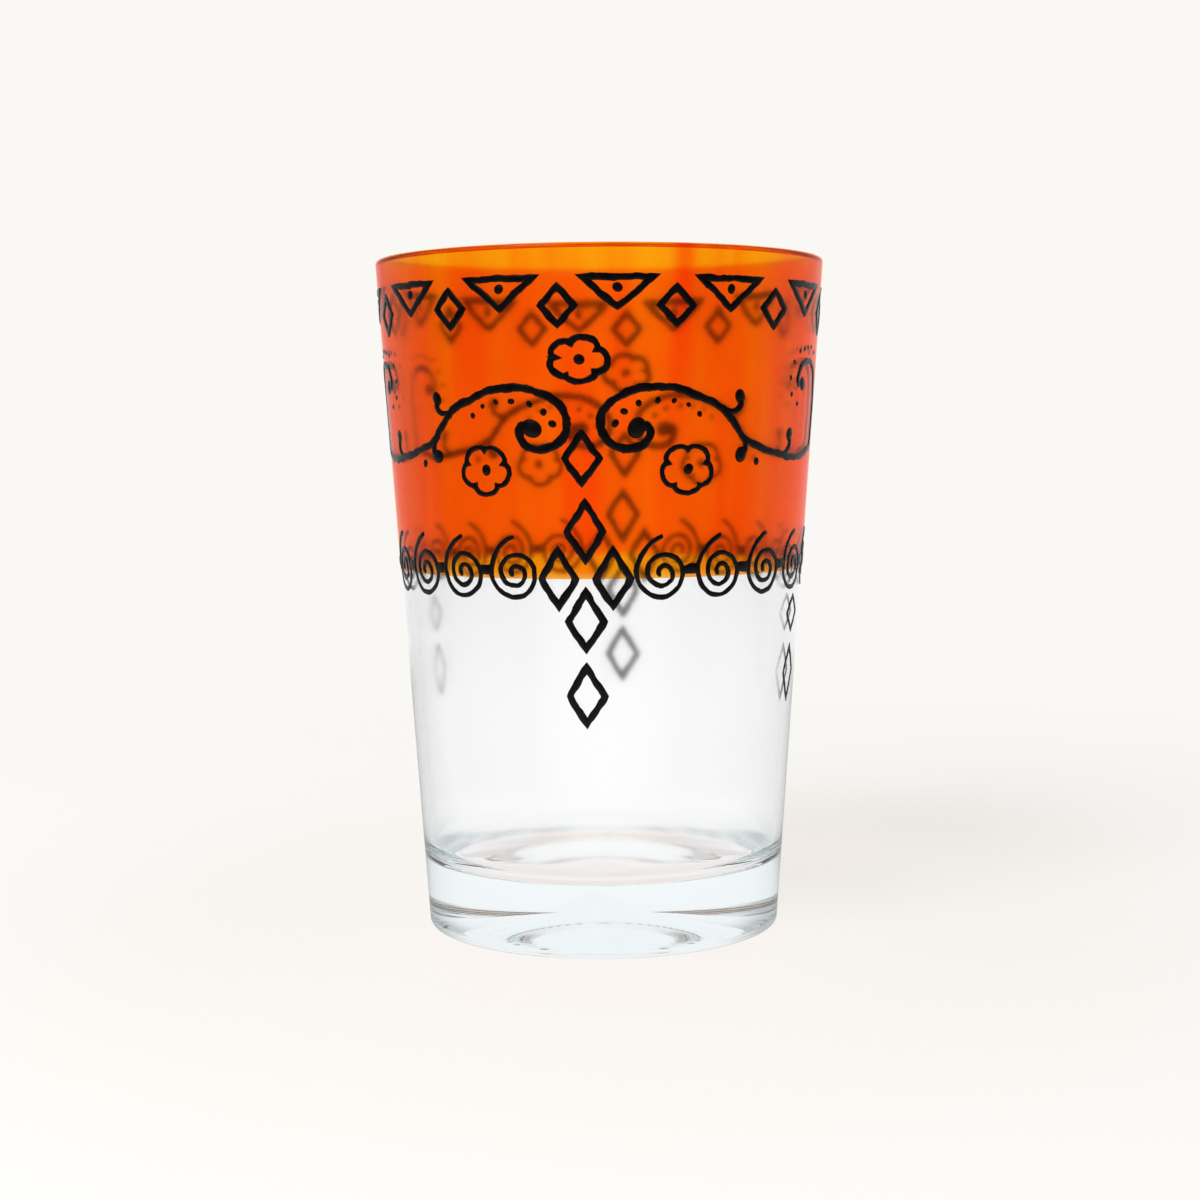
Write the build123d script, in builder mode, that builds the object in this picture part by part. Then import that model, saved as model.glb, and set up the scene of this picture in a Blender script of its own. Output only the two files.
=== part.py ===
from build123d import *
from math import cos, pi, radians, sin, sqrt
import os

# Tea glass: a tapered clear tumbler on a heavy foot, with a translucent orange coat on the upper half
# and raised black enamel ornament. Millimetres, +Z up, origin at the middle of the foot's bearing ring.
# The ornament's main column faces -Y. Angles are in degrees from it, positive towards +X.
# Drops are distances down from the rim.

# Tumbler
height = 90.0
rim_diameter = 60.0
foot_diameter = 47.6
wall = 1.5
lip_wall = 1.1
lip_taper_drop = 6.0
lip_rise = 0.35
floor_thickness = 9.2
floor_fillet = 4.5
heel_radius = 2.0
punt_diameter = 26.0
punt_top_diameter = 13.8
punt_depth = 1.0

# Orange coat, from the lip down to a level edge
coat_thickness = 0.1
coat_drop = 41.2

# Enamel lines and dots. The lines are laid on the wall in short flat runs, each of one facet.
enamel_thickness = 0.2
facet_count = 40
bold_stroke = 0.95
fine_stroke = 0.75
dot_sides = 6

# Border under the rim: triangles that point down, and small diamonds between them
border_count = 12
triangle_phase = 8.9
triangle_drop = 3.9
triangle_width = 10.6
triangle_height = 4.65
triangle_dot_radius = 0.6
triangle_dot_drop = 5.55
rim_diamond_drop = 7.75
rim_diamond_width = 5.25
rim_diamond_height = 5.65

# Five-petal flowers, drawn wider than they are high. A notch is the share of the radius that is cut in
# between two petals, on the outside and on the inside of the line.
petal_count = 5
petal_steps = 4
outer_notch = 0.22
inner_notch = 0.38
flower_width = 7.9
flower_height = 5.9
flower_centre_radius = 0.65
upper_flower_drop = 14.2
upper_flower_turn = 10
lower_flower_drop = 27.7
lower_flower_angle = 26.6
lower_flower_turn = 36

# Leaf scrolls: an arch that curls in at the main column, and a stem that ends in a curl at the side.
# Points are given across and up from the rim on the motif's own facing line.
ball_radius = 0.9
ball_sides = 8
arch_steps = 17
stem_steps = 20
hook_steps = 3
arch_angle = 20.0
arch_crest = (-0.4, -17.6)
arch_outer_end = (7.9, -20.1)
arch_curl = ((-7.4, -20.5), (-7.0, -24.0), (-2.3, -24.6), (-2.2, -22.1), (-3.3, -22.2))
arch_ball = (-3.6, -22.6)
stem_angle = 58.0
stem_start = (-10.67, -20.1)
stem_slope_end = (-6.9, -23.9)
stem_trough = ((-3.2, -25.66), (8.0, -26.0), (11.9, -22.5))
end_curl = ((11.3, -15.6), (8.2, -13.9), (4.3, -16.4), (5.7, -17.9))
end_ball = (6.2, -17.2)
stem_hooks = (
    ((-10.4, -19.9), (-8.2, -18.6), (1, -0.4)),
    ((-7.0, -23.9), (-7.3, -25.7), (0.3, -1)),
    ((1.6, -26.2), (2.6, -23.8), (1, 0.3)),
)

# Rings of dots that follow the arch on its inside and the end curl on its outside, and one free dot
arch_dot_count = 7
arch_dot_radius = 0.42
arch_dot_ring = 7.8
arch_dot_centre = (0, -27.0)
arch_dot_start = 38
arch_dot_sweep = 104
curl_dot_count = 9
curl_dot_radius = 0.36
curl_dot_ring = 5.1
curl_dot_centre = (7.7, -16.8)
curl_dot_start = 52
curl_dot_sweep = 175
stem_dot_radius = 0.5
stem_dot_place = (-4.7, -26.9)

# Diamonds of the main columns and of the pendants between them, as pairs of drop and height
column_diamond_width = 5.2
column_diamonds_at = ((26.3, 6.8), (35.35, 7.9), (46.6, 8.1), (55.9, 8.1))
pendant_angle = 74.0
pendant_diamond_width = 4.75
pendant_diamonds_at = ((47.0, 5.3), (54.9, 7.6))

# Chain of spirals along the coat's edge, with a diamond at each end beside the main columns
chain_rise = 1.0
chain_first_angle = 20.8
chain_pitch_angle = 16.8
chain_side_count = 4
spiral_radius = 3.9
spiral_step = 1.4
spiral_turns = 2.0
spiral_points_per_turn = 7
flick_length = 0.8
flick_turns = 0.25
link_height = 1.1
waist_diamond_angle = 7.2
waist_diamond_width = 5.0
waist_diamond_height = 7.9

# Values that follow from the driving dimensions
taper = (rim_diameter - foot_diameter) / 2 / height
lip_start = height - lip_rise
coat_edge_height = height - coat_drop
chain_drop = coat_drop - chain_rise
relief = coat_thickness + enamel_thickness
enamel_end_drop = max(drop + tall for drop, tall in column_diamonds_at + pendant_diamonds_at)
reach = rim_diameter
facing = Plane(origin=(0, 0, height), x_dir=(1, 0, 0), z_dir=(0, -1, 0))


def wall_radius(z):
    """Outer radius of the bare glass at height z."""
    return foot_diameter / 2 + taper * z


def turned(*angles):
    """Places about the glass's axis at the given angles."""
    return [Location((0, 0, 0), (0, 0, angle)) for angle in angles]


# The tumbler's half section: foot with its punt, heel, wall, crowned lip and the rounded corner inside.
# The wall grows thinner towards the lip, on its inside.
with BuildPart() as glass_tumbler:
    with BuildSketch(Plane.XZ) as glass_half:
        heel = (wall_radius(0), 0)
        lip_outside = (wall_radius(lip_start), lip_start)
        lip_crest = (wall_radius(lip_start) - lip_wall / 2, height)
        lip_inside = (wall_radius(lip_start) - lip_wall, lip_start)
        taper_start = height - lip_taper_drop
        taper_corner = (wall_radius(taper_start) - wall, taper_start)
        floor_corner = (wall_radius(floor_thickness) - wall, floor_thickness)
        punt_corner = (punt_top_diameter / 2, punt_depth)
        with BuildLine():
            Polyline((0, punt_depth), punt_corner, (punt_diameter / 2, 0), heel, lip_outside)
            ThreePointArc(lip_outside, lip_crest, lip_inside)
            Polyline(lip_inside, taper_corner, floor_corner, (0, floor_thickness), (0, punt_depth))
        make_face()
        fillet(glass_half.vertices().sort_by_distance(heel)[0], heel_radius)
        fillet(glass_half.vertices().sort_by_distance(floor_corner)[0], floor_fillet)
    revolve(axis=Axis.Z)

# The coat lies on the outside of the wall, up to where the lip begins
with BuildPart() as orange_coat:
    with BuildSketch(Plane.XZ):
        with BuildLine():
            Polyline(
                (wall_radius(coat_edge_height), coat_edge_height),
                (wall_radius(coat_edge_height) + coat_thickness, coat_edge_height),
                (wall_radius(lip_start) + coat_thickness, lip_start),
                (wall_radius(lip_start), lip_start),
                close=True,
            )
        make_face()
    revolve(axis=Axis.Z)


def faceted_wall(thickness, low, high):
    """A faceted cone from low to high, whose flats stand off the bare glass by a thickness."""
    sections = []
    for level in (low, high):
        with BuildSketch(Plane.XY.offset(level)) as section:
            RegularPolygon(wall_radius(level) + thickness, facet_count, major_radius=False)
        sections.append(section.sketch)
    with BuildPart() as cone:
        loft(sections, ruled=True)
    return cone.part


# The layer that all enamel lies in: on the coat above the coat's edge, on the bare glass below it.
# A corner between two flats lies on the facing line.
with BuildPart() as enamel_layer:
    layer_foot = height - enamel_end_drop
    add(faceted_wall(relief, layer_foot, height))
    add(faceted_wall(0, layer_foot, coat_edge_height), mode=Mode.SUBTRACT)
    add(faceted_wall(coat_thickness, coat_edge_height, height), mode=Mode.SUBTRACT)


def pressed_on_wall(motif):
    """A motif, drawn flat and facing outwards, as a relief of the enamel layer."""
    with BuildPart() as relief_piece:
        extrude(motif.sketch, amount=reach)
        add(enamel_layer.part, mode=Mode.INTERSECT)
    return relief_piece.part


def diamond_outline(width, tall):
    """A standing diamond with the corners on its axes."""
    Polygon((-width / 2, 0), (0, -tall / 2), (width / 2, 0), (0, tall / 2))


def diamonds(width, places):
    """Outlined diamonds one below the other, from pairs of drop and height."""
    with BuildSketch(facing) as motif:
        for drop, tall in places:
            with Locations((0, -drop)):
                diamond_outline(width, tall)
        offset(amount=-bold_stroke, kind=Kind.INTERSECTION, mode=Mode.SUBTRACT)
    return pressed_on_wall(motif)


def dot(drop, radius):
    """One round dot on the facing line."""
    with BuildSketch(facing) as motif:
        with Locations((0, -drop)):
            RegularPolygon(radius, dot_sides)
    return pressed_on_wall(motif)


def petals(width, tall, notch, first):
    """A wavy outline round a flower, whose first petal stands at an angle from straight up."""
    steps = petal_count * petal_steps
    outline = []
    for step in range(steps):
        around = 2 * pi * step / steps
        swell = 1 - notch * (1 - abs(cos(petal_count * around / 2)))
        angle = around + radians(first)
        outline.append((width / 2 * swell * sin(angle), tall / 2 * swell * cos(angle)))
    return outline


def flower(drop, first):
    """The line round a flower on the facing line."""
    inner_width = flower_width - 2 * fine_stroke
    inner_height = flower_height - 2 * fine_stroke
    with BuildSketch(facing) as motif:
        with Locations((0, -drop)):
            Polygon(*petals(flower_width, flower_height, outer_notch, first), align=None)
            inside = petals(inner_width, inner_height, inner_notch, first)
            Polygon(*inside, align=None, mode=Mode.SUBTRACT)
    return pressed_on_wall(motif)


# Border under the rim
with BuildSketch(facing) as triangle:
    with Locations((0, -triangle_drop)):
        Polygon((-triangle_width / 2, 0), (0, -triangle_height), (triangle_width / 2, 0), align=None)
    offset(amount=-fine_stroke, kind=Kind.INTERSECTION, mode=Mode.SUBTRACT)

with BuildPart() as rim_triangles:
    with PolarLocations(0, border_count, triangle_phase):
        add(pressed_on_wall(triangle))

with BuildPart() as rim_triangle_dots:
    with PolarLocations(0, border_count, triangle_phase):
        add(dot(triangle_dot_drop, triangle_dot_radius))

with BuildPart() as rim_diamonds:
    with PolarLocations(0, border_count, triangle_phase - 180 / border_count):
        add(diamonds(rim_diamond_width, ((rim_diamond_drop, rim_diamond_height),)))

# Flowers over each main column, and beside it under the scrolls
with BuildPart() as upper_flowers:
    with PolarLocations(0, 2):
        add(flower(upper_flower_drop, upper_flower_turn))

with BuildPart() as upper_flower_centres:
    with PolarLocations(0, 2):
        add(dot(upper_flower_drop, flower_centre_radius))

beside_columns = turned(*(half + side * lower_flower_angle for half in (0, 180) for side in (-1, 1)))

with BuildPart() as lower_flowers:
    with Locations(*beside_columns):
        add(flower(lower_flower_drop, lower_flower_turn))

with BuildPart() as lower_flower_centres:
    with Locations(*beside_columns):
        add(dot(lower_flower_drop, flower_centre_radius))


def tangent_arcs(start, heading, ends):
    """Arcs from a start through the given ends, each tangent to the one before."""
    for end in ends:
        arc = TangentArc(start, end, tangent=heading)
        start = arc @ 1
        heading = arc % 1


def band(line, steps):
    """A bold stroke along a line, in straight steps."""
    edges = {1: [], -1: []}
    for index in range(steps + 1):
        place = line @ (index / steps)
        heading = line % (index / steps)
        for side, edge in edges.items():
            edge.append(place + Vector(-heading.Y, heading.X) * (side * bold_stroke / 2))
    Polygon(*edges[1], *reversed(edges[-1]), align=None)


# The arch, drawn facing outwards at its own angle: from its crest down to the stem on one side, and
# round into the curl on the other
with BuildSketch(facing) as arch:
    with BuildLine() as arch_line:
        TangentArc(arch_crest, arch_outer_end, tangent=(1, 0))
        tangent_arcs(arch_crest, (-1, 0), arch_curl)
    band(arch_line.wire(), arch_steps)
    with Locations(arch_ball):
        RegularPolygon(ball_radius, ball_sides)

# The stem with its three hooks, from the arch's outer end down through the trough and up into the end curl
with BuildSketch(facing) as stem:
    with BuildLine() as stem_line:
        slope = Line(stem_start, stem_slope_end)
        tangent_arcs(stem_slope_end, slope % 1, stem_trough + end_curl)
    band(stem_line.wire(), stem_steps)
    for start, end, heading in stem_hooks:
        with BuildLine() as hook_line:
            TangentArc(start, end, tangent=heading)
        band(hook_line.wire(), hook_steps)
    with Locations(end_ball, *(end for start, end, heading in stem_hooks)):
        RegularPolygon(ball_radius, ball_sides)

with BuildPart() as leaf_scrolls:
    with Locations(*turned(arch_angle)):
        add(pressed_on_wall(arch))
    with Locations(*turned(stem_angle)):
        add(pressed_on_wall(stem))
    mirror(about=Plane.YZ)
    mirror(about=Plane.XZ)

# Dots that follow the arch on its inside, and the free dot under the stem
with BuildSketch(facing) as arch_dots:
    with Locations(arch_dot_centre):
        with PolarLocations(arch_dot_ring, arch_dot_count, arch_dot_start, arch_dot_sweep, endpoint=True):
            RegularPolygon(arch_dot_radius, dot_sides)

with BuildSketch(facing) as stem_dot:
    with Locations(stem_dot_place):
        RegularPolygon(stem_dot_radius, dot_sides)

with BuildPart() as scroll_dots:
    with Locations(*turned(arch_angle)):
        add(pressed_on_wall(arch_dots))
    with Locations(*turned(stem_angle)):
        add(pressed_on_wall(stem_dot))
    mirror(about=Plane.YZ)
    mirror(about=Plane.XZ)

# Dots round each end curl
with BuildSketch(facing) as end_dots:
    with Locations(curl_dot_centre):
        with PolarLocations(curl_dot_ring, curl_dot_count, curl_dot_start, curl_dot_sweep, endpoint=True):
            RegularPolygon(curl_dot_radius, dot_sides)

with BuildPart() as curl_dots:
    with Locations(*turned(stem_angle)):
        add(pressed_on_wall(end_dots))
    mirror(about=Plane.YZ)
    mirror(about=Plane.XZ)

# Diamonds of the two main columns, and those that hang below the chain between them
with BuildPart() as column_diamonds:
    with PolarLocations(0, 2):
        add(diamonds(column_diamond_width, column_diamonds_at))

with BuildPart() as pendant_diamonds:
    with PolarLocations(0, 2, pendant_angle):
        add(diamonds(pendant_diamond_width, pendant_diamonds_at))


def spiral_reach(turn):
    """Distance of a spiral's line from its centre after a number of turns from the top."""
    flick = flick_length * max(0, 1 - turn / flick_turns) ** 2
    return spiral_radius - spiral_step * turn + flick


def spiral_edge(side):
    """One edge of a spiral's line in straight steps, from the flick at its top inwards."""
    count = round(spiral_turns * spiral_points_per_turn)
    corner_swell = 1 / sqrt(cos(pi / spiral_points_per_turn))
    edge = []
    for index in range(count + 1):
        turn = spiral_turns * index / count
        angle = radians(90 + 360 * turn)
        distance = spiral_reach(turn) * corner_swell + side * fine_stroke / 2
        edge.append((distance * cos(angle), distance * sin(angle)))
    return edge


def link(gap_angle):
    """The short bar that joins two spirals, from the line of one to the line of the next."""
    half_gap = wall_radius(height - chain_drop) * sin(radians(gap_angle / 2))
    left = spiral_reach(0.75) - fine_stroke / 2 - half_gap
    right = half_gap - spiral_reach(0.25) + fine_stroke / 2
    with BuildSketch(facing) as motif:
        with Locations(((left + right) / 2, -chain_drop)):
            Rectangle(right - left, link_height)
    return pressed_on_wall(motif)


with BuildSketch(facing) as spiral:
    with Locations((0, -chain_drop)):
        Polygon(*spiral_edge(1), *reversed(spiral_edge(-1)), align=None)

rising_angles = [chain_first_angle + chain_pitch_angle * index for index in range(chain_side_count)]
chain_angles = rising_angles + [90] + [180 - angle for angle in reversed(rising_angles)]

# The chain of spirals, its links and its end diamonds, for both halves of the turn
with BuildPart() as waist_chain:
    spiral_piece = pressed_on_wall(spiral)
    waist_diamond = diamonds(waist_diamond_width, ((coat_drop, waist_diamond_height),))
    for half in (0, 180):
        with Locations(*turned(*(half + angle for angle in chain_angles))):
            add(spiral_piece)
        for start, end in zip(chain_angles, chain_angles[1:]):
            with Locations(*turned(half + (start + end) / 2)):
                add(link(end - start))
        with Locations(*turned(half - waist_diamond_angle, half + waist_diamond_angle)):
            add(waist_diamond)

pieces = {
    "glass_tumbler": glass_tumbler,
    "orange_coat": orange_coat,
    "rim_triangles": rim_triangles,
    "rim_triangle_dots": rim_triangle_dots,
    "rim_diamonds": rim_diamonds,
    "upper_flowers": upper_flowers,
    "upper_flower_centres": upper_flower_centres,
    "lower_flowers": lower_flowers,
    "lower_flower_centres": lower_flower_centres,
    "leaf_scrolls": leaf_scrolls,
    "scroll_dots": scroll_dots,
    "curl_dots": curl_dots,
    "column_diamonds": column_diamonds,
    "pendant_diamonds": pendant_diamonds,
    "waist_chain": waist_chain,
}

os.makedirs("parts", exist_ok=True)
for name, piece in pieces.items():
    piece.part.label = name
    export_step(piece.part, f"parts/{name}.step")
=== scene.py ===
import bpy
import bmesh
import math
import random
from mathutils import Matrix, Vector


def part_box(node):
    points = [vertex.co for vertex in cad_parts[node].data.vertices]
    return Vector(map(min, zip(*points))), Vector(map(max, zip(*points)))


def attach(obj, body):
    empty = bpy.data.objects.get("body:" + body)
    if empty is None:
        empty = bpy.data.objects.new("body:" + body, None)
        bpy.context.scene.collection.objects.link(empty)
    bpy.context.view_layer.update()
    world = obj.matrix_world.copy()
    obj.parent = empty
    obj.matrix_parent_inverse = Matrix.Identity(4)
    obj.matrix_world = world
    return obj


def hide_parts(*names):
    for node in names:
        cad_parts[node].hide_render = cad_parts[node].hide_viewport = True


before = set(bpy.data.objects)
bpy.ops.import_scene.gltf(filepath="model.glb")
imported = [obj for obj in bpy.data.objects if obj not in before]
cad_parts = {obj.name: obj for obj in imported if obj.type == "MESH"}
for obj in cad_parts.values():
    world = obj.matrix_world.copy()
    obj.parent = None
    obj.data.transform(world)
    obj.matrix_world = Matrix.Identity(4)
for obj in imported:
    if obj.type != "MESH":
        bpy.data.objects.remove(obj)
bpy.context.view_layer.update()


# The tumbler. Soda-lime glass pressed in a mould and fire polished: a tapered wall on a heavy foot, with a
# domed punt underneath and a softly rounded corner inside. It is clear, and only the thick foot shows
# the faint blue-green of the glass itself.
mm = 0.001
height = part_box("glass_tumbler")[1].z / mm
foot_radius = 23.8
rim_radius = 30.0
wall = 1.5
lip_wall = 1.25
lip_taper_drop = 6.0
lip_taper_round = 2.5
lip_low = 0.25
lip_round = 0.5
floor_height = 9.2
floor_round = 3.0
heel_round = 0.9
punt_radius = 17.0
punt_depth = 3.2
punt_steps = 27
punt_dome_power = 1.5
turning_steps = 240
longest_edge = 2.5
guard = 0.05
wide_round = 1.0
wide_round_segments, small_round_segments = 16, 8
weld = 1e-7


def wall_radius(z):
    """Outer radius of the bare glass at a height, in millimetres."""
    return foot_radius + (rim_radius - foot_radius) * z / height


def turned_body(name, corners):
    """A turned piece from the corners of its half section, each with its rounding, in millimetres. A narrow
    guard beside each corner keeps its shading off the straight parts."""
    bm = bmesh.new()
    outline = [bm.verts.new((x * mm, 0, z * mm)) for x, z, _ in corners]
    bm.faces.new(outline)
    for corner, (_, _, rounding) in zip(outline, corners):
        if rounding:
            segments = wide_round_segments if rounding > wide_round else small_round_segments
            bmesh.ops.bevel(bm, geom=[corner], offset=rounding * mm, affect="VERTICES",
                            segments=segments, profile=0.5, material=-1)
    bmesh.ops.delete(bm, geom=bm.faces[:], context="FACES_ONLY")
    on_axis = [edge for edge in bm.edges if all(vert.co.x < weld for vert in edge.verts)]
    bmesh.ops.delete(bm, geom=on_axis, context="EDGES")
    for edge in bm.edges[:]:
        length = edge.calc_length()
        if length > 10 * guard * mm:
            near = bmesh.utils.edge_split(edge, edge.verts[0], guard * mm / length)[1]
            bmesh.utils.edge_split(edge, edge.other_vert(near), guard * mm / edge.calc_length())
            cuts = int(length / (longest_edge * mm))
            if cuts:
                bmesh.ops.subdivide_edges(bm, edges=[edge], cuts=cuts)
    bmesh.ops.spin(bm, geom=bm.verts[:] + bm.edges[:], cent=(0, 0, 0), axis=(0, 0, 1),
                   angle=2 * math.pi, steps=turning_steps, use_merge=True)
    bmesh.ops.remove_doubles(bm, verts=bm.verts[:], dist=weld)
    bmesh.ops.recalc_face_normals(bm, faces=bm.faces[:])
    return finished(name, bm)


def finished(name, bm):
    """The object of a modelled piece, smooth all over."""
    mesh = bpy.data.meshes.new(name)
    bm.to_mesh(mesh)
    bm.free()
    mesh.shade_smooth()
    piece = bpy.data.objects.new(name, mesh)
    bpy.context.scene.collection.objects.link(piece)
    return piece


def linear(colour):
    """Linear colour of an sRGB hex value."""
    values = [int(colour[i:i + 2], 16) / 255 for i in (1, 3, 5)]
    return [v / 12.92 if v <= 0.04045 else ((v + 0.055) / 1.055) ** 2.4 for v in values] + [1.0]


def add_node(tree, kind, inputs=None, **settings):
    """A shader node with its settings and its linked or plain inputs."""
    node = tree.nodes.new(kind)
    for name, value in settings.items():
        setattr(node, name, value)
    for name, value in (inputs or {}).items():
        if isinstance(value, bpy.types.NodeSocket):
            tree.links.new(value, node.inputs[name])
        else:
            node.inputs[name].default_value = value
    return node


def new_material(name):
    """An empty node material, with its tree and output."""
    material = bpy.data.materials.new(name)
    material.use_nodes = True
    material.node_tree.nodes.clear()
    return material, material.node_tree, add_node(material.node_tree, "ShaderNodeOutputMaterial")


def pressed_glass(name):
    """Pressed glass. Its skin keeps slow waves about a centimetre long, which bend the view a little, and
    the plunger's side is less polished, so that what is drawn on the far wall looks soft."""
    wave_length, wave_height = 9.0, 0.004
    plunger_roughness = 0.12
    material, tree, output = new_material(name)
    place = add_node(tree, "ShaderNodeTexCoord")
    waves = add_node(tree, "ShaderNodeTexNoise", {
        "Vector": place.outputs["Object"], "Scale": 1 / (wave_length * mm), "Detail": 1.0})
    bump = add_node(tree, "ShaderNodeBump", {
        "Height": waves.outputs["Fac"], "Distance": wave_height * mm, "Strength": 1.0})
    plunger = add_node(tree, "ShaderNodeAttribute", attribute_name="plunger_side")
    polish = add_node(tree, "ShaderNodeMapRange", {
        "Value": plunger.outputs["Fac"], "To Min": 0.0, "To Max": plunger_roughness})
    glass = add_node(tree, "ShaderNodeBsdfPrincipled", {
        "Base Color": linear("#FFFFFF"), "Roughness": polish.outputs["Result"], "IOR": 1.52,
        "Transmission Weight": 1.0, "Normal": bump.outputs["Normal"]})
    tint = add_node(tree, "ShaderNodeVolumeAbsorption", {"Color": linear("#00BCCF"), "Density": 2.4})
    tree.links.new(glass.outputs["BSDF"], output.inputs["Surface"])
    tree.links.new(tint.outputs["Volume"], output.inputs["Volume"])
    return material


lip_top = height - lip_low
taper_start = height - lip_taper_drop
punt = [(punt_radius * step / punt_steps,
         punt_depth * (1 - (step / punt_steps) ** 2) ** punt_dome_power, 0)
        for step in range(punt_steps + 1)]
tumbler = turned_body("clear_tumbler", (
    *punt,
    (foot_radius, 0, heel_round),
    (wall_radius(lip_top), lip_top, lip_round),
    (wall_radius(lip_top) - lip_wall, lip_top, lip_round),
    (wall_radius(taper_start) - wall, taper_start, lip_taper_round),
    (wall_radius(floor_height) - wall, floor_height, floor_round),
    (0, floor_height, 0),
))
tumbler.data.materials.append(pressed_glass("soda-lime glass, pressed and fire polished"))
plunger_side = tumbler.data.attributes.new("plunger_side", "FLOAT", "POINT")
for vert in tumbler.data.vertices:
    reach = math.hypot(vert.co.x, vert.co.y) / mm
    above_floor = vert.co.z / mm > floor_height + floor_round
    inside = above_floor and reach < wall_radius(vert.co.z / mm) - lip_wall / 2
    plunger_side.data[vert.index].value = float(inside)
# Clear glass hardly shades the table, so only what is painted on it does.
tumbler.visible_shadow = False
tumbler.visible_diffuse = False
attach(tumbler, "root")
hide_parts("glass_tumbler")


# The orange coat. A translucent lacquer sprayed on the outside of the upper half and baked on, masked off
# level below, where its edge is thin and yellow, and lapped over the lip onto its crest.
coat_edge = 48.8
coat_gap = 0.01
coat_thickness = 0.1
coat_gloss = 0.45


def lacquer(name, gloss):
    """Baked lacquer: clear orange, a little streaky where it settled before baking, thin and yellow at its
    edge, with one thicker and redder run under the rim."""
    streak_width, streak_length = 5.0, 60.0
    run_turn, run_half_width, run_core = math.radians(24.7), 2.2, 0.2
    run_end_drop, run_full_drop = 24.0, 3.0
    thin_from, thin_to, thin_share = 0.1, 0.9, 0.55
    material, tree, output = new_material(name)
    place = add_node(tree, "ShaderNodeTexCoord")
    stretch = add_node(tree, "ShaderNodeMapping", {
        "Vector": place.outputs["Object"],
        "Scale": (1 / (streak_width * mm), 1 / (streak_width * mm), 1 / (streak_length * mm))})
    streaks = add_node(tree, "ShaderNodeTexNoise", {
        "Vector": stretch.outputs["Vector"], "Scale": 1.0, "Detail": 2.0})
    shade = add_node(tree, "ShaderNodeValToRGB", {"Fac": streaks.outputs["Fac"]})
    shade.color_ramp.elements[0].position = 0.3
    shade.color_ramp.elements[0].color = linear("#FF8502")
    shade.color_ramp.elements[1].position = 0.7
    shade.color_ramp.elements[1].color = linear("#FFA60A")
    axes = add_node(tree, "ShaderNodeSeparateXYZ", {"Vector": place.outputs["Object"]})
    aside = add_node(tree, "ShaderNodeVectorMath", {
        0: place.outputs["Object"], 1: (math.cos(run_turn), math.sin(run_turn), 0)}, operation="DOT_PRODUCT")
    off_run = add_node(tree, "ShaderNodeMath", {0: aside.outputs["Value"]}, operation="ABSOLUTE")
    across_run = add_node(tree, "ShaderNodeMapRange", {
        "Value": off_run.outputs[0], "From Min": run_half_width * mm, "From Max": run_core * mm},
        interpolation_type="SMOOTHSTEP")
    down_run = add_node(tree, "ShaderNodeMapRange", {
        "Value": axes.outputs["Z"], "From Min": (height - run_end_drop) * mm,
        "From Max": (height - run_full_drop) * mm}, interpolation_type="SMOOTHSTEP")
    front = add_node(tree, "ShaderNodeMath", {0: axes.outputs["Y"], 1: 0.0}, operation="LESS_THAN")
    run = add_node(tree, "ShaderNodeMath", {
        0: across_run.outputs["Result"], 1: down_run.outputs["Result"]}, operation="MULTIPLY")
    one_run = add_node(tree, "ShaderNodeMath", {0: run.outputs[0], 1: front.outputs[0]}, operation="MULTIPLY")
    thick = add_node(tree, "ShaderNodeMix", {
        "Factor": one_run.outputs[0], "A": shade.outputs["Color"], "B": linear("#FF6A02")}, data_type="RGBA")
    fade = add_node(tree, "ShaderNodeMapRange", {
        "Value": axes.outputs["Z"], "From Min": (coat_edge + thin_from) * mm,
        "From Max": (coat_edge + thin_to) * mm, "To Min": thin_share, "To Max": 0.0})
    thin = add_node(tree, "ShaderNodeMix", {
        "Factor": fade.outputs["Result"], "A": thick.outputs["Result"], "B": linear("#FFC35A")},
        data_type="RGBA")
    film = add_node(tree, "ShaderNodeBsdfPrincipled", {
        "Base Color": thin.outputs["Result"], "Roughness": 0.0, "IOR": 1.0, "Transmission Weight": 1.0,
        "Coat Weight": gloss, "Coat Roughness": 0.03})
    tree.links.new(film.outputs["BSDF"], output.inputs["Surface"])
    return material


edge_radius = wall_radius(coat_edge)
lip_radius = wall_radius(lip_top)
crest_radius = lip_radius - lip_wall / 2
coat = turned_body("orange_lacquer", (
    (edge_radius + coat_gap, coat_edge, 0),
    (edge_radius + coat_thickness, coat_edge, 0),
    (lip_radius + coat_thickness, lip_top + coat_thickness, lip_round),
    (crest_radius, lip_top + coat_thickness, 0),
    (crest_radius, lip_top + coat_gap, 0),
    (lip_radius + coat_gap, lip_top + coat_gap, lip_round),
))
coat.data.materials.append(lacquer("baked orange lacquer, glossy outside", coat_gloss))
coat.data.materials.append(lacquer("baked orange lacquer, on the glass", 0.0))
for face in coat.data.polygons:
    outward = Vector((face.center.x, face.center.y, 0)).normalized() + Vector((0, 0, 1))
    face.material_index = int(face.normal.dot(outward) < 0)
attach(coat, "root")
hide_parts("orange_coat")


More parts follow.
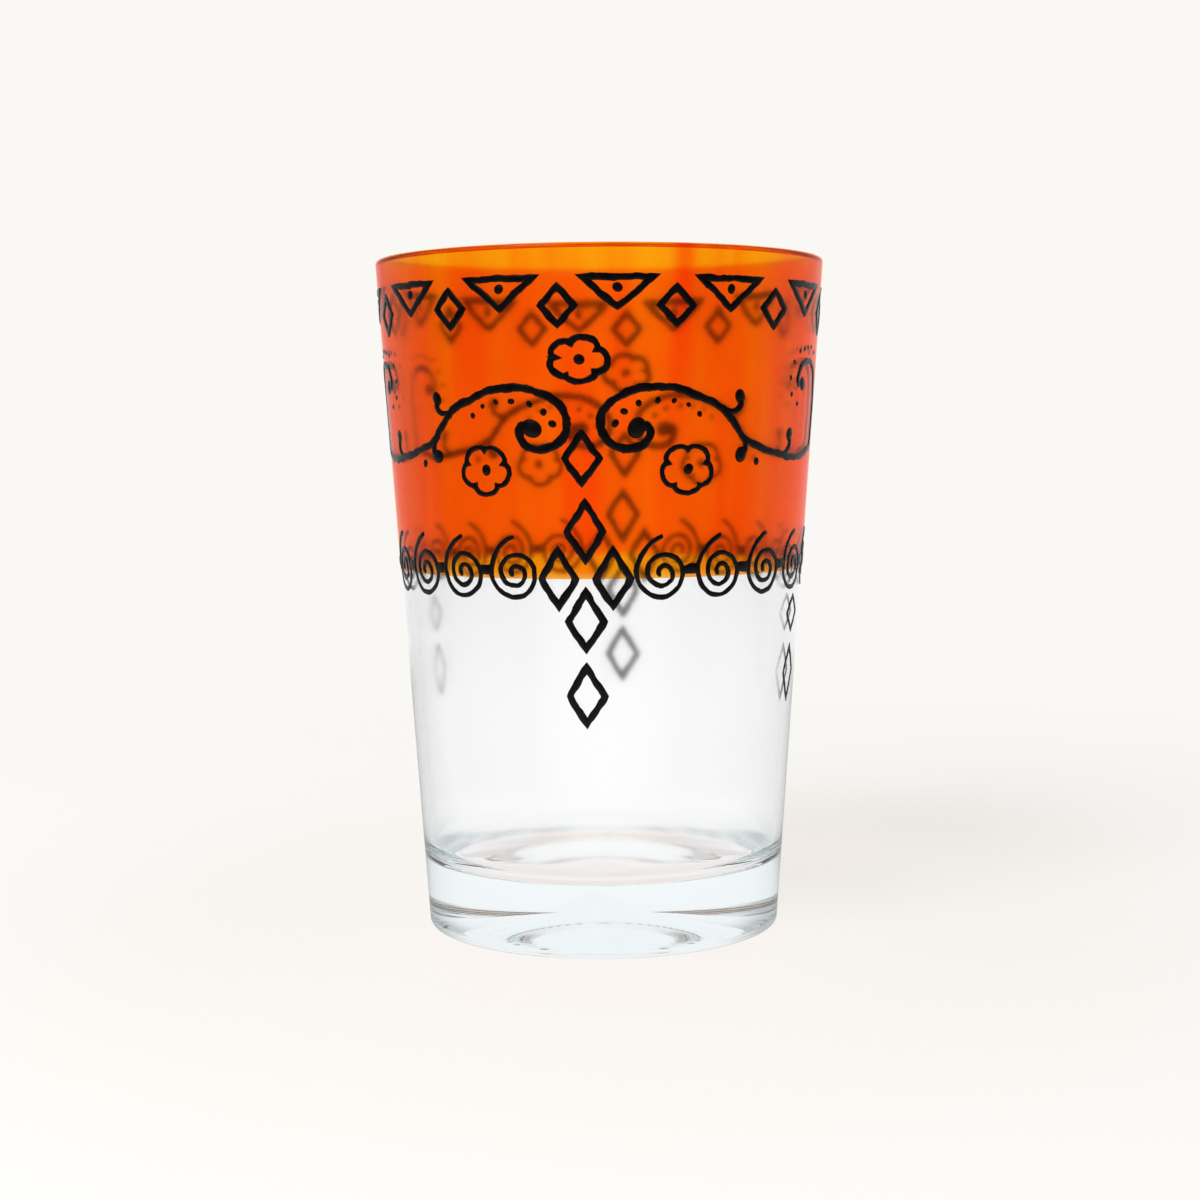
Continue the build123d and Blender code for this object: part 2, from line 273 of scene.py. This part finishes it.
# The triangles of the border under the rim. Black enamel squeezed from a fine nozzle by hand and fired: a
# low raised line with a flat crown that swells and thins a little, and thickens in the corners where it is
# turned.
border_count = 12
border_phase = 8.4
border_crowding = 1.1
border_run_on = 2.0
triangle_drop = 3.9
triangle_width = 10.6
triangle_height = 4.65
triangle_tip_inset = 0.62
fine_stroke = 0.88
line_height = 0.09
sunk = -0.03
coat_step = 0.3
bead_sides = 10
bead_edge, bead_slack = 0.8, 0.05
crown_power = 0.35
sharpest_mitre = 0.5
swell_lengths, swell_shares = (6.5, 2.4), (0.06, 0.05)
sway_lengths, sway_widths = (5.0, 2.0), (0.05, 0.025)
ragged_share = 0.07
unsteady_width = 0.03
turn_gain = 0.35
corner_hold = 5
enamel_weld = 1e-6


def on_wall(angle, across, drop, lift):
    """A place on the glass: millimetres across from an angle, down from the rim, out from the bare wall."""
    z = height - drop
    reach = wall_radius(z)
    turn = math.radians(angle) + across / reach
    return Vector(((reach + lift) * math.sin(turn), -(reach + lift) * math.cos(turn), z)) * mm


def enamel_top(drop):
    """How far an enamel line stands out from the bare wall, higher where it lies on the coat."""
    on_coat = min(max((height - drop - coat_edge) / coat_step + 0.5, 0), 1)
    return coat_thickness * on_coat + line_height


def lay_line(bm, angle, line, width, seed, closed=False, thinning=0):
    """A bead of enamel along a line of points across and down, with the slight unsteadiness of a hand, which
    may thin by a share of its width towards its end."""
    hand = random.Random(seed)
    phases = [hand.uniform(0, 2 * math.pi) for _ in range(4)]
    points = [Vector(point) for point in line]
    steps = [(b - a).length for a, b in zip(points, points[1:] + points[:1])]
    lengths = [sum(steps[:index]) for index in range(len(points) + 1)]
    total = lengths[-1] if closed else lengths[-2]
    rows = []
    for index, point in enumerate(points):
        before = points[index - 1] if closed or index else point
        after = points[(index + 1) % len(points)] if closed or index < len(points) - 1 else point
        into = (point - before).normalized() if index or closed else (after - point).normalized()
        out = (after - point).normalized() if after is not point else into
        heading = (into + out).normalized()
        mitre = 1 / max(heading.dot(out), sharpest_mitre)
        side = Vector((-heading.y, heading.x))
        share = lengths[index] / total
        waves = [math.sin(2 * math.pi * round(max(total / wave, 1)) * share + phase)
                 for wave, phase in zip(swell_lengths + sway_lengths, phases)]
        ragged = hand.uniform(-ragged_share, ragged_share)
        swell = 1 - thinning * share + swell_shares[0] * waves[0] + swell_shares[1] * waves[1] + ragged
        half = width / 2 * swell * (1 + turn_gain * (mitre - 1))
        sway = (sway_widths[0] * waves[2] + sway_widths[1] * waves[3]
                + hand.uniform(-unsteady_width, unsteady_width))
        to_end = total if closed else min(lengths[index], total - lengths[index])
        cap = math.sqrt(max(1 - max(1 - to_end / (width / 2), 0) ** 2, 0))
        rows.append((point + side * sway, side * half * cap * mitre, cap))
    if closed:
        rows.append(rows[0])
    grid = bmesh.ops.create_grid(bm, x_segments=len(rows) - 1, y_segments=bead_sides, size=1)
    for vert in grid["verts"]:
        middle, side, cap = rows[round((vert.co.x + 1) / 2 * (len(rows) - 1))]
        around = min(abs(vert.co.y) / bead_edge, 1) * math.copysign(math.pi / 2, vert.co.y)
        underneath = abs(vert.co.y) > bead_edge + bead_slack
        on_glass = abs(vert.co.y) > bead_edge - bead_slack
        across, drop = middle + side * (0 if underneath else math.sin(around))
        crown = 0 if on_glass else math.cos(around) ** crown_power
        vert.co = on_wall(angle, across, drop, sunk + (enamel_top(drop) - sunk) * crown * cap)


def border_angle(place):
    """Angle of a place in the border, counted from its first triangle. The hand set the motifs a little
    closer at the front and back than at the sides, and ran on a little at the back."""
    angle = 360 / border_count * place
    turn = math.radians(angle)
    crowding = border_crowding * math.sin(2 * turn)
    return border_phase + angle - crowding + border_run_on * math.sin(turn / 2) ** 2


def straight_sides(corners, spacing=0.45):
    """Points along the sides of a closed figure, evenly spaced, with the corners a little blunt."""
    line = []
    for start, end in zip(corners, corners[1:] + corners[:1]):
        count = max(round(math.dist(start, end) / spacing), 1)
        line += [Vector(start).lerp(Vector(end), index / count) for index in range(count)]
    return [(a + corner_hold * b + c) / (corner_hold + 2)
            for a, b, c in zip(line[-1:] + line, line, line[1:] + line[:1])]


def fired_enamel(name):
    """Fired enamel: brown-black, satin, with the fine grain and small level differences of fired frit."""
    cloud_size, grain_size, grain_depth = 1.6, 0.16, 0.02
    smoothest, roughest = 0.26, 0.42
    material, tree, output = new_material(name)
    place = add_node(tree, "ShaderNodeTexCoord")
    cloud = add_node(tree, "ShaderNodeTexNoise", {
        "Vector": place.outputs["Object"], "Scale": 1 / (cloud_size * mm), "Detail": 2.0})
    grain = add_node(tree, "ShaderNodeTexNoise", {
        "Vector": place.outputs["Object"], "Scale": 1 / (grain_size * mm), "Detail": 2.0})
    shade = add_node(tree, "ShaderNodeValToRGB", {"Fac": cloud.outputs["Fac"]})
    shade.color_ramp.elements[0].position = 0.3
    shade.color_ramp.elements[0].color = linear("#050303")
    shade.color_ramp.elements[1].position = 0.75
    shade.color_ramp.elements[1].color = linear("#0D0808")
    satin = add_node(tree, "ShaderNodeMapRange", {
        "Value": cloud.outputs["Fac"], "From Min": 0.3, "From Max": 0.7,
        "To Min": smoothest, "To Max": roughest})
    bump = add_node(tree, "ShaderNodeBump", {
        "Height": grain.outputs["Fac"], "Distance": grain_depth * mm, "Strength": 0.5})
    enamel = add_node(tree, "ShaderNodeBsdfPrincipled", {
        "Base Color": shade.outputs["Color"], "Roughness": satin.outputs["Result"], "IOR": 1.5,
        "Specular IOR Level": 0.15, "Coat Weight": 0.06, "Coat Roughness": 0.15,
        "Normal": bump.outputs["Normal"]})
    tree.links.new(enamel.outputs["BSDF"], output.inputs["Surface"])
    return material


black_enamel = fired_enamel("black enamel, nozzle drawn and fired")


def enamelled(name, bm, *nodes):
    """A finished group of enamel lines that stands for its solids on the glass."""
    bmesh.ops.remove_doubles(bm, verts=bm.verts[:], dist=enamel_weld)
    bmesh.ops.recalc_face_normals(bm, faces=bm.faces[:])
    piece = finished(name, bm)
    piece.data.materials.append(black_enamel)
    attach(piece, "root")
    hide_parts(*nodes)


triangles = bmesh.new()
half_triangle = triangle_width / 2 - fine_stroke
triangle_sides = straight_sides([
    (-half_triangle, triangle_drop + fine_stroke / 2),
    (half_triangle, triangle_drop + fine_stroke / 2),
    (0, triangle_drop + triangle_height - triangle_tip_inset * fine_stroke),
])
for index in range(border_count):
    lay_line(triangles, border_angle(index), triangle_sides, fine_stroke, index, closed=True)
enamelled("rim_triangle_lines", triangles, "rim_triangles")


# The dot in each triangle, and later all other dots. A drop of the same enamel, let fall from the nozzle,
# which rounds itself before it is fired.
triangle_dot_drop = 5.6
triangle_dot_radius = 0.62
triangle_dot_seed = 100
dot_rise, highest_dot = 0.6, 1.1
least_stretch, most_stretch = 0.04, 0.12
dot_segments, dot_rings = 18, 10


def lay_dot(bm, angle, across, drop, radius, seed):
    """A drop of enamel with a domed top, never quite round. Larger drops stand a little higher."""
    hand = random.Random(seed)
    lean = hand.uniform(0, math.pi)
    stretch = hand.uniform(least_stretch, most_stretch)
    drop_top = sunk + (enamel_top(drop) - sunk) * min(dot_rise + radius / 2, highest_dot)
    dome = bmesh.ops.create_uvsphere(bm, u_segments=dot_segments, v_segments=dot_rings, radius=1)
    for vert in dome["verts"]:
        x, y, up = vert.co
        pull = radius * (1 + stretch * math.cos(2 * (math.atan2(y, x) - lean)))
        lift = sunk + (drop_top - sunk) * max(up, 0)
        vert.co = on_wall(angle, across + pull * x, drop + pull * y, lift)


triangle_dots = bmesh.new()
for index in range(border_count):
    lay_dot(triangle_dots, border_angle(index), 0, triangle_dot_drop, triangle_dot_radius,
            triangle_dot_seed + index)
enamelled("rim_triangle_drops", triangle_dots, "rim_triangle_dots")


# The small diamonds of the border, one between each two triangles, drawn with the bolder line that the
# diamonds of the main columns have too. Each diamond is given as drop, width and height.
bold_stroke = 0.92
rim_diamond = (7.75, 5.65, 5.85)
rim_diamond_seed = 200


def lay_diamond(bm, angle, drop, width, tall, seed, stroke=bold_stroke):
    """An outlined diamond whose outside is width by tall, centred at a drop below the rim."""
    slope = math.atan2(tall, width)
    inset_across = stroke / 2 / math.sin(slope)
    inset_down = stroke / 2 / math.cos(slope)
    corners = [
        (0, drop - tall / 2 + inset_down),
        (width / 2 - inset_across, drop),
        (0, drop + tall / 2 - inset_down),
        (-width / 2 + inset_across, drop),
    ]
    lay_line(bm, angle, straight_sides(corners), stroke, seed, closed=True)


rim_diamonds = bmesh.new()
for index in range(border_count):
    lay_diamond(rim_diamonds, border_angle(index - 0.5), *rim_diamond, rim_diamond_seed + index)
enamelled("rim_diamond_lines", rim_diamonds, "rim_diamonds")


# The flowers: one over each main column, and a pair lower down beside it. Five petals drawn in one line
# that dips in between them, with a drop in the middle. Each flower is given as drop, width, height, line
# width and the angles of its petals.
petal_points = 16
petal_dip = 0.2
petal_fullness = 0.55
flower_centre_radius = 0.68
flower_centre_aside = 0.15
flower_seed = 300
second_column = 177.0
upper_flower = (14.25, 8.2, 6.3, 0.86, (15, 95, 175, 245, 310))
upper_flower_angle = -1.2
lower_flower = (27.7, 7.6, 6.7, 0.66, (36, 108, 180, 252, 324))
lower_flower_angle = 26.6


def lay_flower(bm, angle, flower, seed):
    """The line round a flower, whose petals stand at angles clockwise from straight up."""
    drop, width, tall, stroke, petals = flower
    line = []
    for before, petal, after in zip(petals[-1:] + petals, petals, petals[1:] + petals[:1]):
        start = petal - (petal - before) % 360 / 2
        end = petal + (after - petal) % 360 / 2
        for step in range(petal_points):
            share = step / petal_points
            turn = math.radians(start + (end - start) * share)
            reach = 1 - petal_dip * (1 - math.sin(math.pi * share) ** petal_fullness)
            line.append(((width - stroke) / 2 * reach * math.sin(turn),
                         drop - (tall - stroke) / 2 * reach * math.cos(turn)))
    lay_line(bm, angle, line, stroke, seed, closed=True)


flower_groups = {
    "upper": (upper_flower, [column + upper_flower_angle for column in (0, second_column)]),
    "lower": (lower_flower, [column + side * lower_flower_angle
                             for column in (0, second_column) for side in (-1, 1)]),
}
for group, (flower, angles) in flower_groups.items():
    flowers = bmesh.new()
    centres = bmesh.new()
    drop = flower[0]
    for index, angle in enumerate(angles):
        seed = flower_seed + round(drop) * 10 + index
        lay_flower(flowers, angle, flower, seed)
        lay_dot(centres, angle, flower_centre_aside, drop, flower_centre_radius, seed)
    enamelled(group + "_flower_lines", flowers, group + "_flowers")
    enamelled(group + "_flower_drops", centres, group + "_flower_centres")


# The leaf scrolls. One long line on each side of a main column: a curl under the arch, the arch, a falling
# stem, and up into an end curl at the side, with three short hooks. Curls and hooks end in a round drop.
# Places are degrees from the column and drop below the rim, and balls and dots have their radius as well.
scroll_stroke = 1.15
scroll_thinning = 0.3
hook_stroke = 0.8
scroll_seed, hook_seed_step, drop_seed_step = 500, 10, 20
scroll_middle = 45.0
ball_radius = 0.92
scroll_line = (
    (14.4, 22.2), (15.9, 22.35), (16.5, 23.4), (14.7, 24.7), (11.3, 25.2), (7.9, 24.8), (5.1, 23.65),
    (4.1, 22.1), (4.9, 20.5), (7.5, 19.1), (10.5, 18.3), (15, 17.7), (20, 17.6), (25, 18.0), (30.2, 18.95),
    (36.1, 20.2), (40.4, 22.3), (44.4, 24.2), (52.7, 25.5), (62.5, 26.3), (69.8, 26.4), (78.5, 25.5),
    (81.8, 24.3), (82.6, 20), (81.2, 16.2), (77, 14.2), (72.7, 14), (68.3, 14.7), (66.4, 16.2), (67.4, 17.5),
)
scroll_hooks = (
    ((33.5, 19.6), (37.2, 20.5), (40.2, 20.6), (41.9, 19.8), (41.7, 18.9)),
    ((41.4, 22.8), (43.4, 24.0), (44.2, 25.3), (43.3, 26.0)),
    ((58.5, 26.0), (61.5, 25.9), (63.3, 25.0), (63.2, 23.8)),
)
scroll_balls = (
    (13.2, 22.6, 1.35 * ball_radius), (70.0, 17.0, 1.1 * ball_radius), (41.7, 18.75, 0.95 * ball_radius),
    (42.7, 26.0, 1.05 * ball_radius), (63.2, 23.5, 0.95 * ball_radius),
)
scroll_dots = (
    (7.8, 22.05, 0.5), (10, 20.6, 0.46), (13.6, 19.6, 0.43), (18.4, 19.25, 0.43), (22.65, 19.3, 0.36),
    (26.5, 19.8, 0.33), (29.6, 20.95, 0.38), (48.5, 26.9, 0.5),
)
curl_dot_radius = 0.36
curl_dots = [(angle, drop, curl_dot_radius) for angle, drop in (
    (79.6, 12.8), (75.9, 12.2), (72.8, 12.3), (70.0, 12.5), (67.0, 12.8),
    (63.8, 14.3), (62.2, 16.3), (63.2, 18.4), (67.0, 19.6),
)]


def flattened(places, side):
    """Places given by angle and drop, as millimetres across from the scroll's middle and down."""
    return [(side * math.radians(angle - scroll_middle) * wall_radius(height - drop), drop)
            for angle, drop, *_ in places]


def close_ends(line, shares):
    """A line with more points at its two ends, where the bead is rounded off."""
    for share in shares:
        line.insert(1, line[0].lerp(line[1], share))
        line.insert(len(line) - 1, line[-1].lerp(line[-2], share))
    return line


def smooth_through(points, spacing=0.3):
    """A smooth line through points, with its points closer together at the two ends."""
    points = [Vector(point) for point in points]
    padded = [2 * points[0] - points[1]] + points + [2 * points[-1] - points[-2]]
    line = []
    for a, b, c, d in zip(padded, padded[1:], padded[2:], padded[3:]):
        count = max(round((c - b).length / spacing), 2)
        for index in range(count):
            t = index / count
            line.append(b + 0.5 * t * (c - a + t * (2 * a - 5 * b + 4 * c - d + t * (3 * (b - c) + d - a))))
    line.append(points[-1])
    return close_ends(line, (0.15, 0.4))


scrolls = bmesh.new()
arch_drops = bmesh.new()
curl_drops = bmesh.new()
for column in (0, second_column):
    for side in (-1, 1):
        angle = column + side * scroll_middle
        seed = scroll_seed + column + side
        lay_line(scrolls, angle, smooth_through(flattened(scroll_line, side)), scroll_stroke, seed,
                 thinning=scroll_thinning)
        for index, hook in enumerate(scroll_hooks):
            lay_line(scrolls, angle, smooth_through(flattened(hook, side)), hook_stroke,
                     seed + hook_seed_step * index)
        for bm, places in ((scrolls, scroll_balls), (arch_drops, scroll_dots), (curl_drops, curl_dots)):
            for index, (across, drop) in enumerate(flattened(places, side)):
                lay_dot(bm, angle, across, drop, places[index][2], seed + drop_seed_step * index)
enamelled("leaf_scroll_lines", scrolls, "leaf_scrolls")
enamelled("leaf_scroll_drops", arch_drops, "scroll_dots")
enamelled("end_curl_drops", curl_drops, "curl_dots")


# The diamonds in a row down each main column, from the scrolls to below the coat, and those that hang
# under the chain at the sides. Each is drawn by itself, so no two are quite alike. They are given as
# degrees aside, drop, width and height.
column_diamonds = ((-0.6, 26.3, 5.55, 7.6), (0, 35.35, 5.65, 8.8), (0, 46.5, 5.6, 8.9), (0, 55.9, 5.6, 8.9))
pendant_diamonds = ((0, 47.0, 4.75, 5.6), (0, 54.9, 4.75, 8.1))
pendant_angle = 74
pendant_stroke = 0.55
second_pendant_lower = 1.4
diamond_seed = 700
diamond_groups = {
    "column_diamond_lines": (column_diamonds, ((0, 0), (second_column, 0)), "column_diamonds", bold_stroke),
    "pendant_diamond_lines": (
        pendant_diamonds, ((pendant_angle, 0), (pendant_angle + 180, second_pendant_lower)),
        "pendant_diamonds", pendant_stroke),
}
for name, (row, places, node, stroke) in diamond_groups.items():
    diamonds = bmesh.new()
    for angle, lower in places:
        for aside, drop, width, tall in row:
            seed = round(diamond_seed + angle + drop)
            lay_diamond(diamonds, angle + aside, drop + lower, width, tall, seed, stroke)
    enamelled(name, diamonds, node)


# The chain round the waist, drawn over the coat's edge: spirals that all run the same way, each begun with
# a flick at the top and joined to the next by a short bar, and a diamond at each end beside the column.
chain_drop = 40.55
right_first, right_pitch = 20.4, 17.05
left_first, left_pitch = -19.1, 16.3
spirals_a_side = 4
side_spiral = 88.5
spiral_stroke = 0.64
spiral_radius = 3.7
spiral_step = 1.4
spiral_turns = 2.4
spiral_points = 34
flick_length = 0.9
flick_turns = 0.22
bar_height = 1.3
bar_raise = 0.4
bar_lap = 0.25
left_turn, right_turn = 0.25, 0.75
bar_shares = (0, 0.08, 0.25, 0.5, 0.75, 0.92, 1)
widest_link = 25
waist_diamond = (41.2, 5.5, 8.7)
waist_angle = 7.2
spiral_seed, bar_seed, waist_seed = 800, 900, 950


def spiral_reach(turn):
    """Distance of a spiral's line from its centre, after a number of turns from the top."""
    return spiral_radius - spiral_step * turn + flick_length * max(0, 1 - turn / flick_turns) ** 2


def lay_spiral(bm, angle, seed):
    """A spiral from the flick at its top inwards, against the clock."""
    line = []
    for step in range(round(spiral_turns * spiral_points) + 1):
        turn = step / spiral_points
        around = math.radians(90 + 360 * turn)
        reach = spiral_reach(turn)
        line.append(Vector((reach * math.cos(around), chain_drop - reach * math.sin(around))))
    lay_line(bm, angle, close_ends(line, (0.2, 0.5)), spiral_stroke, seed)


chain = bmesh.new()
right_spirals = [right_first + right_pitch * index for index in range(spirals_a_side)]
left_spirals = [left_first - left_pitch * index for index in range(spirals_a_side)]
for half in (0, second_column):
    row = sorted([angle + half for angle in left_spirals + [-side_spiral, side_spiral] + right_spirals])
    for index, angle in enumerate(row):
        # The last spiral of the other half takes the place of the first.
        if index:
            lay_spiral(chain, angle, spiral_seed + half + index)
    for first, second in zip(row, row[1:]):
        gap = math.radians(second - first) * wall_radius(height - chain_drop)
        start, end = spiral_reach(right_turn) - bar_lap, gap - spiral_reach(left_turn) + bar_lap
        if second - first < widest_link:
            bar = [(start + (end - start) * share, chain_drop - bar_raise) for share in bar_shares]
            lay_line(chain, first, bar, bar_height, bar_seed + half + round(first))
    for side in (-1, 1):
        lay_diamond(chain, half + side * waist_angle, *waist_diamond, waist_seed + half + side)
enamelled("waist_chain_lines", chain, "waist_chain")


# The stage: a plain pale table that takes the shadow near the glass, and further off runs on into a pale
# backdrop with no line between them. What the glass looks through and what it mirrors have levels, far off
# and near by, each given with its heading, from -1 on the viewer's side to 1 behind the glass.
backdrop_colour = "#FAF8F4"
paper_colour = "#F2F1EE"
shaded_paper_colour = "#F1E9E6"
far_mirrored = ((-1, 0.06), (0, 0.06), (0.45, 0.5), (0.8, 0.7), (0.92, 1.0), (1, 1.0))
far_straight = ((-1, 0.98), (-0.84, 0.93), (-0.6, 0.52), (0.5, 0.52), (0.82, 0.98), (1, 1.0))
near_mirrored = ((-1, 1.0), (0.4, 1.0), (0.8, 0.45), (0.98, 0.45), (1, 0.7))
near_straight = ((-1, 0.92), (-0.84, 0.9), (-0.6, 0.65), (0.62, 0.5), (0.87, 0.98), (1, 1.0))
table_radius = 3000
table_gap = 0.05
heading_shift = 50
near_shift, near_end, near_full = 60, 300, 180
beside_end, beside_full = 100, 50
lit_end, backdrop_start = 100, 300
foot_shade_full, foot_shade_end = 20, 26
room_level = 0.965
softbox_width, softbox_height = 300, 400
softbox_power = 1.25
softbox_place = (-300, -460, 500)
softbox_aim = (0, 0, 45)


def graded(tree, heading, levels):
    """A brightness that goes from level to level as the heading turns from the viewer's side to the back."""
    share = add_node(tree, "ShaderNodeMapRange", {"Value": heading, "From Min": -1.0, "From Max": 1.0})
    ramp = add_node(tree, "ShaderNodeValToRGB", {"Fac": share.outputs["Result"]})
    stops = ramp.color_ramp.elements
    stops[0].position, stops[-1].position = [(levels[index][0] + 1) / 2 for index in (0, -1)]
    for turned, _ in levels[1:-1]:
        stops.new((turned + 1) / 2)
    for stop, (_, level) in zip(stops, levels):
        stop.color = (level, level, level, 1.0)
    return ramp.outputs["Color"]


def seen_level(tree, direction, straight, mirrored):
    """Brightness that the surroundings show to straight and to mirrored rays, by where they look."""
    level_ground = add_node(tree, "ShaderNodeVectorMath", {0: direction, 1: (1, 1, 0)}, operation="MULTIPLY")
    compass = add_node(tree, "ShaderNodeVectorMath", {0: level_ground.outputs[0]}, operation="NORMALIZE")
    heading = add_node(tree, "ShaderNodeSeparateXYZ", {"Vector": compass.outputs[0]}).outputs["Y"]
    rays = add_node(tree, "ShaderNodeLightPath")
    reflected = add_node(tree, "ShaderNodeMath", {
        0: rays.outputs["Is Glossy Ray"], 1: rays.outputs["Is Transmission Ray"]},
        operation="SUBTRACT", use_clamp=True)
    through = add_node(tree, "ShaderNodeMath", {
        0: rays.outputs["Is Transmission Ray"], 1: graded(tree, heading, straight)}, operation="MULTIPLY")
    off = add_node(tree, "ShaderNodeMath", {
        0: reflected.outputs[0], 1: graded(tree, heading, mirrored)}, operation="MULTIPLY")
    level = add_node(tree, "ShaderNodeMath", {0: through.outputs[0], 1: off.outputs[0]}, operation="MAXIMUM")
    return rays, level.outputs[0]


table_mesh = bmesh.new()
bmesh.ops.create_circle(table_mesh, cap_ends=True, cap_tris=True, segments=96, radius=table_radius * mm,
                        matrix=Matrix.Translation((0, 0, -table_gap * mm)))
table = finished("table", table_mesh)
table_material, tree, output = new_material("pale paper sweep")
place = add_node(tree, "ShaderNodeTexCoord")
distance = add_node(tree, "ShaderNodeVectorMath", {0: place.outputs["Object"]}, operation="LENGTH")
shifted = add_node(tree, "ShaderNodeVectorMath", {
    0: place.outputs["Object"], 1: (0, heading_shift * mm, 0)}, operation="ADD")
_, far_level = seen_level(tree, shifted.outputs[0], far_straight, far_mirrored)
rays, near_level = seen_level(tree, shifted.outputs[0], near_straight, near_mirrored)
from_near = add_node(tree, "ShaderNodeVectorMath", {
    0: place.outputs["Object"], 1: (0, near_shift * mm, 0)}, operation="DISTANCE")
nearby = add_node(tree, "ShaderNodeMapRange", {
    "Value": from_near.outputs["Value"], "From Min": near_end * mm, "From Max": near_full * mm},
    interpolation_type="SMOOTHSTEP")
blended = add_node(tree, "ShaderNodeMapRange", {
    "Value": nearby.outputs["Result"], "To Min": far_level, "To Max": near_level})
beside = add_node(tree, "ShaderNodeMapRange", {
    "Value": distance.outputs["Value"], "From Min": beside_end * mm, "From Max": beside_full * mm},
    interpolation_type="SMOOTHSTEP")
through_beside = add_node(tree, "ShaderNodeMath", {
    0: beside.outputs["Result"], 1: rays.outputs["Is Transmission Ray"]}, operation="MULTIPLY")
level = add_node(tree, "ShaderNodeMath", {
    0: blended.outputs["Result"], 1: through_beside.outputs[0]}, operation="MAXIMUM")
far = add_node(tree, "ShaderNodeMapRange", {
    "Value": distance.outputs["Value"], "From Min": lit_end * mm, "From Max": backdrop_start * mm},
    interpolation_type="SMOOTHSTEP")
seen_far = add_node(tree, "ShaderNodeMath", {
    0: rays.outputs["Is Camera Ray"], 1: far.outputs["Result"]}, operation="MULTIPLY")
far_or_through = add_node(tree, "ShaderNodeMath", {
    0: seen_far.outputs[0], 1: rays.outputs["Is Transmission Ray"]}, operation="MAXIMUM")
share = add_node(tree, "ShaderNodeMath", {
    0: far_or_through.outputs[0], 1: rays.outputs["Is Glossy Ray"]}, operation="MAXIMUM")
paper = add_node(tree, "ShaderNodeBsdfDiffuse", {"Color": linear(paper_colour)})
backdrop = add_node(tree, "ShaderNodeEmission", {"Color": linear(backdrop_colour), "Strength": 1.0})
# Painted shadow: under the foot, what the glass looks through is painted darker and warmer, for the shade of
# the glass and its orange coat on the table.
foot_shade = add_node(tree, "ShaderNodeMapRange", {
    "Value": distance.outputs["Value"], "From Min": foot_shade_full * mm, "From Max": foot_shade_end * mm})
under_foot = add_node(tree, "ShaderNodeMix", {
    "Factor": foot_shade.outputs["Result"], "A": linear(shaded_paper_colour), "B": linear("#FFFFFF")},
    data_type="RGBA")
around = add_node(tree, "ShaderNodeEmission", {
    "Color": under_foot.outputs["Result"], "Strength": level.outputs[0]})
glow = add_node(tree, "ShaderNodeMixShader", {
    0: rays.outputs["Is Camera Ray"], 1: around.outputs[0], 2: backdrop.outputs[0]})
sweep = add_node(tree, "ShaderNodeMixShader", {0: share.outputs[0], 1: paper.outputs[0], 2: glow.outputs[0]})
tree.links.new(sweep.outputs[0], output.inputs["Surface"])
table.data.materials.append(table_material)

world = bpy.data.worlds.new("pale studio")
bpy.context.scene.world = world
world.use_nodes = True
tree = world.node_tree
tree.nodes.clear()
output = add_node(tree, "ShaderNodeOutputWorld")
place = add_node(tree, "ShaderNodeTexCoord")
rays, level = seen_level(tree, place.outputs["Generated"], far_straight, far_mirrored)
seen_or_through = add_node(tree, "ShaderNodeMath", {
    0: rays.outputs["Is Camera Ray"], 1: rays.outputs["Is Transmission Ray"]}, operation="MAXIMUM")
seen = add_node(tree, "ShaderNodeMath", {
    0: seen_or_through.outputs[0], 1: rays.outputs["Is Glossy Ray"]}, operation="MAXIMUM")
room = add_node(tree, "ShaderNodeBackground", {"Color": linear("#FFFFFF"), "Strength": room_level})
backdrop = add_node(tree, "ShaderNodeBackground", {"Color": linear(backdrop_colour), "Strength": 1.0})
around = add_node(tree, "ShaderNodeBackground", {"Color": linear("#FFFFFF"), "Strength": level})
view = add_node(tree, "ShaderNodeMixShader", {
    0: rays.outputs["Is Camera Ray"], 1: around.outputs[0], 2: backdrop.outputs[0]})
mixed = add_node(tree, "ShaderNodeMixShader", {0: seen.outputs[0], 1: room.outputs[0], 2: view.outputs[0]})
tree.links.new(mixed.outputs[0], output.inputs["Surface"])

key = bpy.data.lights.new("softbox", "AREA")
key.shape = "RECTANGLE"
key.size = softbox_width * mm
key.size_y = softbox_height * mm
key.energy = softbox_power
softbox = bpy.data.objects.new("softbox", key)
bpy.context.scene.collection.objects.link(softbox)
softbox.visible_transmission = False
softbox.location = Vector(softbox_place) * mm
softbox.rotation_euler = (Vector(softbox_aim) * mm - softbox.location).to_track_quat("-Z", "Y").to_euler()


# The camera, at the photograph's place: a little below the rim and turned a little off the main column,
# so that the far rim shows under the near one.
camera_distance = 283.7
camera_height = 66.5
camera_turn = math.radians(4.1)
camera_tilt = math.radians(4.523)
camera_roll = math.radians(-0.42)
focal_pixels = 2081.2
picture_pixels = 1200
axis_offset_pixels = 1.48
lens = bpy.data.cameras.new("camera")
lens.sensor_width = 36
lens.lens = lens.sensor_width * focal_pixels / picture_pixels
lens.clip_start = 0.01
camera = bpy.data.objects.new("camera", lens)
bpy.context.scene.collection.objects.link(camera)
aside = math.atan2(axis_offset_pixels, focal_pixels)
camera.matrix_world = (
    Matrix.Rotation(camera_turn, 4, "Z")
    @ Matrix.Translation((0, -camera_distance * mm, camera_height * mm))
    @ Matrix.Rotation(aside, 4, "Z")
    @ Matrix.Rotation(math.pi / 2 - camera_tilt, 4, "X")
    @ Matrix.Rotation(camera_roll, 4, "Z")
)
bpy.context.scene.camera = camera
bpy.context.scene.view_settings.view_transform = "Standard"
bpy.context.scene.cycles.max_bounces = 40
bpy.context.scene.cycles.glossy_bounces = 32
bpy.context.scene.cycles.transmission_bounces = 40
